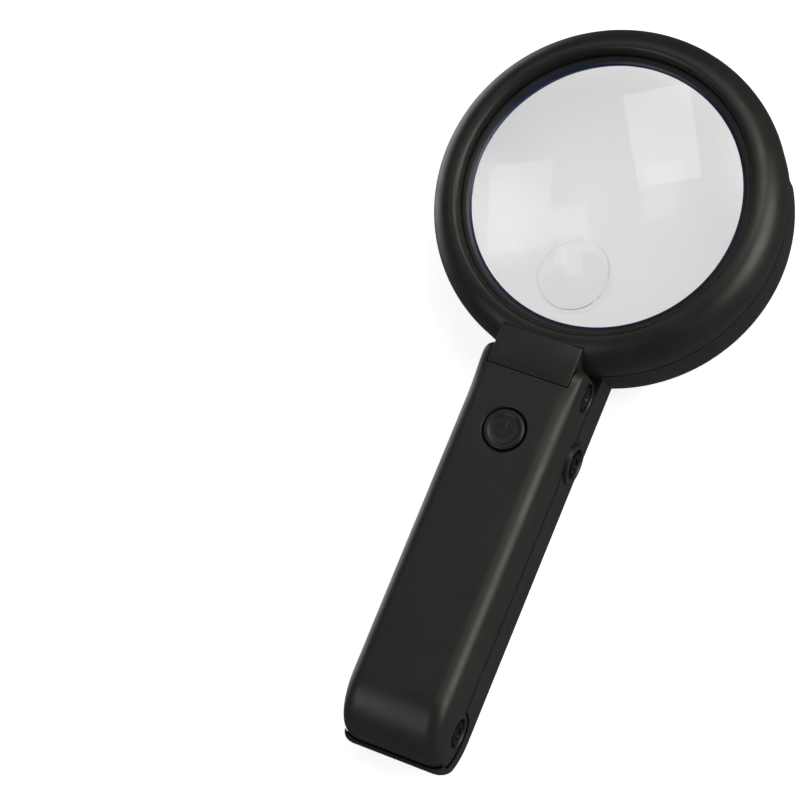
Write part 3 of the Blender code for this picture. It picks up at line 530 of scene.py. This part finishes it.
# rear plate and battery cover with rounded edges
plate = prism_z("handle_rear_plate_fine", rounded([(-15.1, -99.6), (15.1, -99.6), (15.1, -6.2), (-15.1, -6.2)], 1.2), HANDLE_BACK, 15.2)
cut(plate, box("t1", -12.6, 12.6, -91.0, -29.0, 10.0, 20.0), box("t2", -16.0, -12.0, -43.6, -30.4, 10.0, 20.0),
    rod_x("t3", py, pz, [(-30.0, 7.8), (-13.0, 7.8)], 96), rod_x("t4", py, pz, [(13.0, 7.8), (30.0, 7.8)], 96),
    *[rod_z("h%d" % i, x, y, [(10.0, 2.3), (14.45, 2.3), (14.45, 1.1), (20.0, 1.1)], 32) for i, (x, y) in enumerate(PLATE_SCREWS)])
place(shade(plate), "handle", "shell", "handle_rear_plate", material=SHELL)
cover = prism_z("battery_cover_fine", rounded([(-12.3, -90.7), (12.3, -90.7), (12.3, -29.3), (-12.3, -29.3)], 1.0), HANDLE_BACK + 0.02, 15.0)
join(cover, box("t1", -16.95, -11.8, -43.2, -30.8, HANDLE_BACK + 0.06, 15.0),
     prism_z("t2", rounded([(-16.95, -43.2), (-15.9, -43.2), (-15.9, -30.8), (-16.95, -30.8)], 0.3), HANDLE_BACK + 0.4, 16.88))
cut(cover, *[prism_x("g%d" % i, arc(-38.2 + 2.2 * i, 13.1, 0.75, 0.75, 0.0, 180.0, 10), -7.5, 7.5) for i in range(5)])
place(shade(cover), "handle", "shell", "battery_cover", material=SHELL)

# power button: rim, shallow dish and a plain power sign in relief
button = rod_z("power_button_fine", 0.0, BUTTON_Y,
               [(27.6, 1.8), (29.6, 1.8), (29.6, 8.2), (30.9, 8.2), (30.9, BUTTON_R), (33.7, BUTTON_R)]
               + [(33.7 + 0.8 * math.sin(math.radians(a)), BUTTON_R - 0.8 + 0.8 * math.cos(math.radians(a))) for a in (15, 30, 45, 60, 75, 90)]
               + [(34.48, 5.5), (34.36, 5.1), (34.2, 4.85), (34.12, 4.6), (34.14, 3.0), (34.15, 0.6)], 96)


def sign_arc(name, r0, r1, a0, a1, z0, z1):
    loops = []
    for i in range(41):
        a = math.radians(a0 + (a1 - a0) * i / 40)
        s, c = math.sin(a), math.cos(a)
        loops.append([(r0 * s, BUTTON_Y + r0 * c, z0), (r1 * s, BUTTON_Y + r1 * c, z0), ((r1 - 0.12) * s, BUTTON_Y + (r1 - 0.12) * c, z1),
                      ((r0 + 0.12) * s, BUTTON_Y + (r0 + 0.12) * c, z1)])
    return loft(name, loops, tri=False)


join(button, sign_arc("s1", 1.75, 2.55, 38.0, 322.0, 33.8, 34.42),
     loft("s2", [[(-w, BUTTON_Y + 0.2 + k, z), (w, BUTTON_Y + 0.2 + k, z), (w, BUTTON_Y + 2.9 - k, z), (-w, BUTTON_Y + 2.9 - k, z)]
                 for z, w, k in ((33.8, 0.42, 0.0), (34.3, 0.42, 0.0), (34.42, 0.32, 0.1))], tri=False))
place(shade(button, 30), "button", "button", "power_button", material=BUTTONP)

# ------------------------------------------------------------------ head
dome = arc(50.5, 22.5, 8.2, 11.5, 0.0, 90.0, 44)
bezel_out = [(58.0, 16.5), (58.15, 17.2), (58.5, 19.5)] + dome
bezel_out += [(50.1, 33.98), (49.7, 33.9), (49.35, 33.74), (49.02, 33.48), (48.76, 33.12), (48.54, 32.66), (48.38, 32.1), (48.26, 31.5), (48.2, 30.9),
              (48.2, 28.5), (48.2, 24.1), (45.9, 24.1), (45.9, 22.9), (48.2, 22.9), (48.2, 16.5)]
bezel = turned("head_bezel_fine", bezel_out, 240, sharp=40)
neck = [(TAB_Y, TOP), (TAB_Y, hz + math.sqrt(KNUCKLE_R ** 2 - (TAB_Y - hy) ** 2))]
start = math.degrees(math.atan2(neck[1][1] - hz, TAB_Y - hy))
neck += arc(hy, hz, KNUCKLE_R, KNUCKLE_R, start, 285.0, 36)[1:]
neck += [(8.3, 15.0), (9.2, 16.6), (16.5, 16.6), (16.5, 33.0), (15.4, TOP)]
tab = soften(prism_x("neck_tool", neck, -TAB_X, TAB_X), 0.28, 3, 40)
join(bezel, tab)
cavity = [(49.8, 10.0), (49.8, 29.8), (50.8, 30.8), (53.2, 31.2), (55.2, 28.8), (56.5, 23.6), (56.3, 10.0)]
posts = [(POST_CIRCLE * math.sin(math.radians(a)), LENS_Y + POST_CIRCLE * math.cos(math.radians(a))) for a in POST_ANGLES]
cut(bezel, turned("c1", cavity, 120),
    rod_x("c2", hy, hz, [(-20.0, 2.0), (-8.8, 2.0)], 32), rod_x("c3", hy, hz, [(8.8, 2.0), (20.0, 2.0)], 32),
    box("c4", -6.5, 6.5, -6.0, hy + 1.6, 8.0, hz + 4.2), box("c5", -3.2, 3.2, hy, 13.5, hz - 1.9, hz + 2.2))
join(bezel, *[turned("p%d" % i, [(1.05, 17.1), (1.9, 17.1), (1.9, 28.9), (1.05, 28.9)], 20, (x, y)) for i, (x, y) in enumerate(posts)])
place(shade(bezel, 36), "head", "shell", "head_bezel", material=HEADP)

rear_profile = [(48.0, 13.6), (48.3, 13.3), (57.7, 13.3), (58.05, 13.45), (58.2, 13.8), (58.15, 16.2), (56.8, 16.2), (56.8, 15.1), (49.3, 15.1),
                (49.3, 16.2), (48.0, 16.2)]
rear = turned("head_rear_cover_fine", rear_profile, 192)
led_angles = [22.5 + 45.0 * i for i in range(LED_COUNT)]
led_points = [(LED_CIRCLE * math.sin(math.radians(a)), LENS_Y + LED_CIRCLE * math.cos(math.radians(a))) for a in led_angles]
cut(rear, *[rod_z("l%d" % i, x, y, [(10.0, 4.6), (13.1, 2.55), (13.9, LED_R + 0.5), (20.0, LED_R + 0.5)], 40) for i, (x, y) in enumerate(led_points)],
    *[rod_z("s%d" % i, x, y, [(10.0, 2.2), (14.3, 2.2), (14.3, 1.1), (20.0, 1.1)], 32) for i, (x, y) in enumerate(posts)])
place(shade(rear), "head", "shell", "head_rear_cover", material=HEADP)


def ring_material_painted_fringe():
    """The clamping ring: shell plastic, with a painted blue-black fringe on its inner edge standing in for the coloured
    fringe of light the lens shows there.
    """
    mat = plastic("ring_plastic_painted_fringe", (0.010, 0.0105, 0.0105), (0.014, 0.0145, 0.014), 0.28, 0.38)
    tree = mat.node_tree
    shader = tree.nodes["Principled BSDF"]
    colour = shader.inputs["Base Color"].links[0].from_socket
    coord = tree.nodes.new("ShaderNodeTexCoord")
    sub = tree.nodes.new("ShaderNodeVectorMath")
    sub.operation = "MULTIPLY_ADD"
    sub.inputs[1].default_value = (1.0, 1.0, 0.0)
    sub.inputs[2].default_value = (0.0, -LENS_Y * MM, 0.0)
    tree.links.new(coord.outputs["Object"], sub.inputs[0])
    length = tree.nodes.new("ShaderNodeVectorMath")
    length.operation = "LENGTH"
    tree.links.new(sub.outputs["Vector"], length.inputs[0])
    rng = tree.nodes.new("ShaderNodeMapRange")
    rng.inputs["From Min"].default_value = 45.5 * MM
    rng.inputs["From Max"].default_value = 46.5 * MM
    tree.links.new(length.outputs["Value"], rng.inputs["Value"])
    # painted colour fringe: the shell colour gives way to dark blue inside radius 46.5 mm
    mix = tree.nodes.new("ShaderNodeMix")
    mix.data_type = "RGBA"
    mix.inputs["A"].default_value = (0.009, 0.020, 0.062, 1.0)
    tree.links.new(rng.outputs["Result"], mix.inputs["Factor"])
    tree.links.new(colour, mix.inputs["B"])
    tree.links.new(mix.outputs["Result"], shader.inputs["Base Color"])
    return mat


ring = turned("lens_ring_fine", [(45.0, 27.9), (45.1, 27.8), (47.9, 27.8), (47.9, 29.4), (46.9, 29.4), (46.3, 29.3), (45.7, 29.05), (45.25, 28.7), (45.0, 28.3)], 240)
place(ring, "head", "shell", "lens_ring", material=ring_material_painted_fringe())

# lens: both faces curved, and a small stronger lens on the front face near the handle
ball = (LENS_R ** 2 + LENS_SAG ** 2) / (2 * LENS_SAG)
spot_ball = 46.0
front_pole = LENS_MID + LENS_EDGE / 2 + LENS_SAG


def front_height(x, y):
    z = front_pole - ball + math.sqrt(ball ** 2 - x * x - y * y)
    d = math.hypot(x, y - SPOT_Y)
    if d < SPOT_R:
        z += (math.sqrt(spot_ball ** 2 - d * d) - math.sqrt(spot_ball ** 2 - SPOT_R ** 2)) * 0.85 + 0.28
    return z


def lens_mesh():
    """Polar grid about the spot that stretches out to the lens rim, so the spot's edge is crisp."""
    n = 160
    radii = [0.6, 2.0, 4.0, 6.0, 8.0, 9.6, 10.8, 11.6, 12.0, 12.18, 12.24, 12.5, 13.2]
    verts, faces = [], []
    top = [[]]
    for r in radii:
        top.append([(r * math.cos(2 * math.pi * i / n), SPOT_Y + r * math.sin(2 * math.pi * i / n)) for i in range(n)])
    for k in range(1, 29):
        t = k / 28.0
        row = []
        for i in range(n):
            a = 2 * math.pi * i / n
            c, s = math.cos(a), math.sin(a)
            # distance from the spot's centre to the rim in this direction
            b = SPOT_Y * s
            reach = -b + math.sqrt(b * b - (SPOT_Y ** 2 - LENS_R ** 2))
            r = 13.2 + (reach - 13.2) * t
            row.append((r * c, SPOT_Y + r * s))
        top.append(row)
    top = top[1:]
    index = {}
    for a, row in enumerate(top):
        for i, (x, y) in enumerate(row):
            if a == len(top) - 1:
                z = LENS_MID + LENS_EDGE / 2
            else:
                z = front_height(x, y)
            index[("f", a, i)] = len(verts)
            verts.append((x, LENS_Y + y, z))
    for a, row in enumerate(top):
        for i, (x, y) in enumerate(row):
            z = 2 * LENS_MID - (front_pole - ball + math.sqrt(max(ball ** 2 - x * x - y * y, 0.0)))
            if a == len(top) - 1:
                z = LENS_MID - LENS_EDGE / 2
            index[("b", a, i)] = len(verts)
            verts.append((x, LENS_Y + y, z))
    for side in "fb":
        for a in range(len(top) - 1):
            for i in range(n):
                k = (i + 1) % n
                faces.append([index[(side, a, i)], index[(side, a, k)], index[(side, a + 1, k)], index[(side, a + 1, i)]])
        faces.append([index[(side, 0, i)] for i in range(n)])
    last = len(top) - 1
    for i in range(n):
        k = (i + 1) % n
        faces.append([index[("f", last, i)], index[("f", last, k)], index[("b", last, k)], index[("b", last, i)]])
    return new_object("main_lens_fine", verts, faces, sharp=30)


lens = lens_mesh()
place(lens, "head", "lens", "main_lens", material=LENS)

for i, (x, y) in enumerate(led_points):
    steps = [(13.9, 0.3), (13.98, 0.7), (14.2, 1.08), (14.55, 1.36), (14.95, LED_R), (18.2, LED_R), (18.2, 1.75), (19.3, 1.75)]
    place(shade(rod_z("led_fine_%d" % (i + 1), x, y, steps, 32)), "head", "led", "led_%d" % (i + 1), material=LED_EPOXY)


# ------------------------------------------------------------------ screws, bolts and nuts
def bolt(name, y, z, x_head, x_tip, sign, head_r=4.2, head_t=1.4, shank_r=1.8):
    inner = x_head - sign * head_t
    outline = [(x_head, head_r * 0.60), (x_head - sign * 0.06, head_r * 0.74), (x_head - sign * 0.22, head_r * 0.87), (x_head - sign * 0.5, head_r * 0.97),
               (x_head - sign * 0.72, head_r), (inner, head_r), (inner, shank_r), (x_tip, shank_r)]
    obj = rod_x(name, y, z, outline, 48)
    loops = []
    for x, s in ((x_head + sign * 1.0, 1.25), (x_head - sign * 0.8, 0.75)):
        w, l = 0.55 * s, 2.1 * s
        loops.append([(x, y + a, z + b) for a, b in ((-w, -l), (w, -l), (w, -w), (l, -w), (l, w), (w, w), (w, l), (-w, l), (-w, w), (-l, w), (-l, -w), (-w, -w))])
    cut(obj, loft("cross", loops, tri=False))
    return shade(obj)


place(bolt("stand_pivot_bolt_fine", py, pz, -18.9, 18.4, -1.0), "stand", "steel", "stand_pivot_bolt", material=STEEL)
place(bolt("elbow_bolt_fine", ey, ez, -17.3, 17.0, -1.0, head_t=1.1), "handle", "steel", "elbow_bolt", material=STEEL)
place(bolt("head_hinge_screw_left_fine", hy, hz, -17.3, -9.2, -1.0, head_t=1.1, shank_r=1.7), "handle", "steel", "head_hinge_screw_left", material=STEEL)
place(bolt("head_hinge_screw_right_fine", hy, hz, 17.3, 9.2, 1.0, head_t=1.1, shank_r=1.7), "handle", "steel", "head_hinge_screw_right", material=STEEL)


def nut(name, y, z, x0, x1, bore):
    obj = prism_x(name, circle(y, z, 4.1, 6, math.pi / 6), x0, x1)
    cone = rod_x("cone", y, z, [(x0 - 0.2, 5.2), (x0 + 0.25, 5.2), (x1 - 0.35, 4.6), (x1, 3.75), (x1 + 0.3, 3.2)], 64)
    combine(obj, [cone], "INTERSECT")
    cut(obj, rod_x("bore", y, z, [(x0 - 1.0, bore), (x1 + 1.0, bore)], 32))
    return shade(obj)


place(nut("stand_pivot_nut_fine", py, pz, 17.5, 18.8, 2.1), "stand", "steel", "stand_pivot_nut", material=STEEL)
place(nut("elbow_nut_fine", ey, ez, 16.1, 17.3, 2.1), "handle", "steel", "elbow_nut", material=STEEL)


def small_screw(name, x, y, z_head, z_tip, head_r=1.9, head_t=1.1, shank_r=0.8):
    obj = rod_z(name, x, y, [(z_head, head_r * 0.55), (z_head + 0.05, head_r * 0.75), (z_head + 0.18, head_r * 0.92), (z_head + 0.38, head_r),
                             (z_head + head_t, head_r), (z_head + head_t, shank_r), (z_tip, shank_r)], 32)
    w, l = 0.26, 1.15
    cross = [(-w, -l), (w, -l), (w, -w), (l, -w), (l, w), (w, w), (w, l), (-w, l), (-w, w), (-l, w), (-l, -w), (-w, -w)]
    cut(obj, prism_z("cross", [(x + a, y + b) for a, b in cross], z_head - 1.0, z_head + 0.5))
    return shade(obj)


for i, (x, y) in enumerate(PLATE_SCREWS):
    place(small_screw("handle_screw_fine_%d" % (i + 1), x, y, 13.35, 22.0), "handle", "steel", "handle_screw_%d" % (i + 1), material=STEEL)
for i, (x, y) in enumerate(posts):
    place(small_screw("head_screw_fine_%d" % (i + 1), x, y, 13.35, 22.0, 1.8, 0.65), "head", "steel", "head_screw_%d" % (i + 1), material=STEEL)

# ------------------------------------------------------------------ stand
plan = [(BASE_W, 13.2), (-BASE_W, 13.2)] + arc(-(BASE_W - 4.0), BASE_END + 4.0, 4.0, 4.0, 180.0, 270.0, 20) + arc(BASE_W - 4.0, BASE_END + 4.0, 4.0, 4.0, 270.0, 360.0, 20)
stand = prism_z("stand_base_fine", plan, 0.0, 17.0)
side = [(20.0, -1.0), (20.0, BASE_H), (-116.0, BASE_H), (-117.2, 13.5), (-118.5, 14.4), (BASE_END - 1.0, 14.4)]
side += arc(ey, 13.3, ey - BASE_END, 13.3, 180.0, 270.0, 30)
side += [(ey + 2.0, 0.0), (ey + 2.0, -1.0)]
combine(stand, [prism_x("t1", side, -30.0, 30.0)], "INTERSECT")
soften(stand, 0.5, 3, 50)
section = rounded([(RING_RI, 0.0), (RING_RO, 0.0), (RING_RO, BASE_H), (RING_RI, BASE_H)], [0.4, 0.9, 0.7, 0.3], 4)
join(stand, sector("t2", section, -RING_HALF, RING_HALF))
cut(stand, box("t3", -SLOT_X, SLOT_X, -108.2, -8.0, -2.0, 25.0), box("t4", -SLOT_X, SLOT_X, -8.6, 7.2, 2.0, 25.0),
    handle_solid("t5", HANDLE_W + 0.7, HANDLE_R + 0.3, 0.5, 8, 4))
boss_steps = [(SLOT_X, 7.2), (18.3, 7.2), (18.7, 7.05), (18.88, 6.7)]
join(stand, rod_z("t6", 0.0, 3.4, [(1.0, 2.6), (10.0, 2.4), (10.6, 2.1), (10.8, 1.6)], 40),
     rod_x("t7", py, pz, boss_steps, 96), rod_x("t8", py, pz, [(-x, r) for x, r in boss_steps], 96))
grooves = []
for sx in (-1.0, 1.0):
    xa, xb = sorted((sx * (SLOT_X + RAIL_WALL), sx * (BASE_W - RAIL_WALL)))
    for ya, yb in ((-101.0, -79.0), (-77.8, -53.0), (-51.8, -25.0), (-7.0, 5.2)):
        grooves.append(box("g%d" % len(grooves), xa, xb, ya, yb, BASE_FLOOR, 20.0))
    for a0, a1 in ((20.5, 49.0), (50.2, 79.0), (80.2, 109.0), (110.2, 118.6)):
        grooves.append(sector("g%d" % len(grooves), [(RING_RI + 1.3, BASE_FLOOR), (RING_RO - 1.3, BASE_FLOOR), (RING_RO - 1.3, 20.0), (RING_RI + 1.3, 20.0)], sx * a0, sx * a1))
cut(stand, *grooves)
cut(stand, rod_x("t9", py, pz, [(-30.0, 2.2), (30.0, 2.2)], 32),
    recess("t10", py, pz, 18.9, 17.2, -1.0), recess("t11", py, pz, 18.9, 17.2, 1.0))
place(shade(stand), "stand", "shell", "stand_base", material=STANDP)

# ------------------------------------------------------------------ link arm
link_side = arc(py, pz, 4.2, 4.2, 270.0, 450.0, 28) + [(-30.0, 12.9), (-103.8, 12.9)] + arc(ey, ez, 6.0, 6.0, 8.0, 262.0, 56)
link = soften(prism_x("link_arm_fine", link_side, -LINK_X, LINK_X), 0.4, 3, 40)
cut(link, prism_x("t1", rounded([(-23.0, 20.0), (-23.0, 5.9), (-103.0, 8.0), (-103.0, 20.0)], [0.0, 1.0, 1.0, 0.0]), -LINK_X + LINK_WALL, LINK_X - LINK_WALL),
    rod_x("t2", py, pz, [(-20.0, 2.2), (20.0, 2.2)], 32), rod_x("t3", ey, ez, [(-20.0, 2.2), (20.0, 2.2)], 32))
join(link, *[box("r%d" % y, -LINK_X + 0.8, LINK_X - 0.8, -y - 0.7, -y + 0.7, 6.0, 11.4) for y in (50, 76)])
place(shade(link), "link", "shell", "link_arm", material=STANDP)

# ------------------------------------------------------------------ carried-over nodes get their materials
CARRIED = {"switch_body": SWITCHP, "switch_board": CIRCUIT, "led_board": CIRCUIT, "battery_left": CELL, "battery_right": CELL,
           "battery_contact_plate": CONTACT, "battery_terminal_left": CONTACT, "battery_terminal_right": CONTACT,
           "battery_spring_left": CONTACT, "battery_spring_right": CONTACT, "button_spring": CONTACT,
           "handle_lead": LEAD, "head_lead": LEAD, "stand_pivot_washer_left": NYLON, "stand_pivot_washer_right": NYLON,
           "elbow_washer_left": NYLON, "elbow_washer_right": NYLON}
for name, mat in CARRIED.items():
    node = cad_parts[name]
    if not node.material_slots:
        node.data.materials.append(mat)
    for s in node.material_slots:
        s.material = mat

# ------------------------------------------------------------------ floor, light and camera
floor_mesh = bpy.data.meshes.new("floor")
floor_mesh.from_pydata([(-4, -4, -0.0002), (4, -4, -0.0002), (4, 4, -0.0002), (-4, 4, -0.0002)], [], [(0, 1, 2, 3)])
floor = bpy.data.objects.new("floor", floor_mesh)
bpy.context.scene.collection.objects.link(floor)
mat, tree, shader = base_material("floor_white", (0.86, 0.86, 0.86), 0.7)
shader.inputs["Emission Color"].default_value = (1.0, 1.0, 1.0, 1.0)
shader.inputs["Emission Strength"].default_value = 0.76
shader.inputs["Specular IOR Level"].default_value = 0.1
floor_mesh.materials.append(mat)
floor.visible_glossy = False

world = bpy.data.worlds.new("studio")
bpy.context.scene.world = world
world.use_nodes = True
wt = world.node_tree
background = wt.nodes["Background"]
wcoord = wt.nodes.new("ShaderNodeTexCoord")


def glow(direction, inner, outer, colour):
    """Soft round source on the sky: full inside the inner angle, nothing beyond the outer one."""
    d = Vector(direction).normalized()
    dot = wt.nodes.new("ShaderNodeVectorMath")
    dot.operation = "DOT_PRODUCT"
    dot.inputs[1].default_value = d
    wt.links.new(wcoord.outputs["Generated"], dot.inputs[0])
    rng = wt.nodes.new("ShaderNodeMapRange")
    rng.interpolation_type = "SMOOTHSTEP"
    rng.inputs["From Min"].default_value = math.cos(math.radians(outer))
    rng.inputs["From Max"].default_value = math.cos(math.radians(inner))
    wt.links.new(dot.outputs["Value"], rng.inputs["Value"])
    scale = wt.nodes.new("ShaderNodeVectorMath")
    scale.operation = "SCALE"
    scale.inputs[0].default_value = colour
    wt.links.new(rng.outputs["Result"], scale.inputs["Scale"])
    return scale.outputs["Vector"]


total = None
SKY = [((0.895, 0.25, 0.26), 6, 32, (3.6, 3.6, 3.3)),        # right, low: the long front edge of the handle
       ((-0.31, -0.70, 0.60), 5, 24, (2.0, 2.0, 1.9)),       # front: the curved lower end
       ((-0.92, 0.25, -0.30), 6, 36, (1.75, 1.75, 1.75)),    # left, below the horizon: left edge
       ((0.30, 0.52, 0.80), 5, 24, (3.0, 3.0, 2.75)),        # above, beyond the head: crown of the rim on the right
       ((-0.30, 0.24, 0.92), 10, 50, (0.07, 0.07, 0.07))]    # overhead: the flat front faces
for item in SKY:
    part = glow(*item)
    if total is None:
        total = part
    else:
        add = wt.nodes.new("ShaderNodeVectorMath")
        add.operation = "ADD"
        wt.links.new(total, add.inputs[0])
        wt.links.new(part, add.inputs[1])
        total = add.outputs["Vector"]
add = wt.nodes.new("ShaderNodeVectorMath")
add.operation = "ADD"
add.inputs[1].default_value = (0.060, 0.060, 0.062)
wt.links.new(total, add.inputs[0])
wt.links.new(add.outputs["Vector"], background.inputs["Color"])
background.inputs["Strength"].default_value = 1.0


def window(name, location, along, up, width, height, power):
    """Rectangular lamp whose sides run along the two given directions; it shines away from their cross product."""
    data = bpy.data.lights.new(name, "AREA")
    data.shape = "RECTANGLE"
    data.size, data.size_y = width, height
    data.energy = power
    obj = bpy.data.objects.new(name, data)
    x = Vector(along).normalized()
    z = x.cross(Vector(up)).normalized()
    y = z.cross(x)
    obj.matrix_world = Matrix.Translation(location) @ Matrix((x, y, z)).transposed().to_4x4()
    bpy.context.scene.collection.objects.link(obj)
    return obj


window("window_right", (-0.265, 0.657, 1.145), (0.854, 0.517, -0.064), (-0.458, 0.763, -0.456), 0.245, 0.42, 0.56)
window("window_left", (-0.679, 0.230, 1.120), (0.827, 0.375, 0.419), (-0.378, 0.870, -0.316), 0.252, 0.361, 0.34)

cam_data = bpy.data.cameras.new("camera")
cam_data.lens, cam_data.sensor_width, cam_data.sensor_fit = 151.08, 36.0, "HORIZONTAL"
cam_data.clip_start, cam_data.clip_end = 0.05, 20.0
camera = bpy.data.objects.new("camera", cam_data)
vector = Vector((2.830445, 0.522863, -0.455452))
to_cv = Matrix.Rotation(vector.length, 3, vector.normalized())
rotation = to_cv.transposed() @ Matrix.Diagonal((1.0, -1.0, -1.0))
camera.matrix_world = Matrix.Translation((0.33225, -0.19693, 1.03775)) @ rotation.to_4x4()
bpy.context.scene.collection.objects.link(camera)
bpy.context.scene.camera = camera
bpy.context.scene.view_settings.view_transform = "Standard"
bpy.context.scene.view_settings.look = "None"
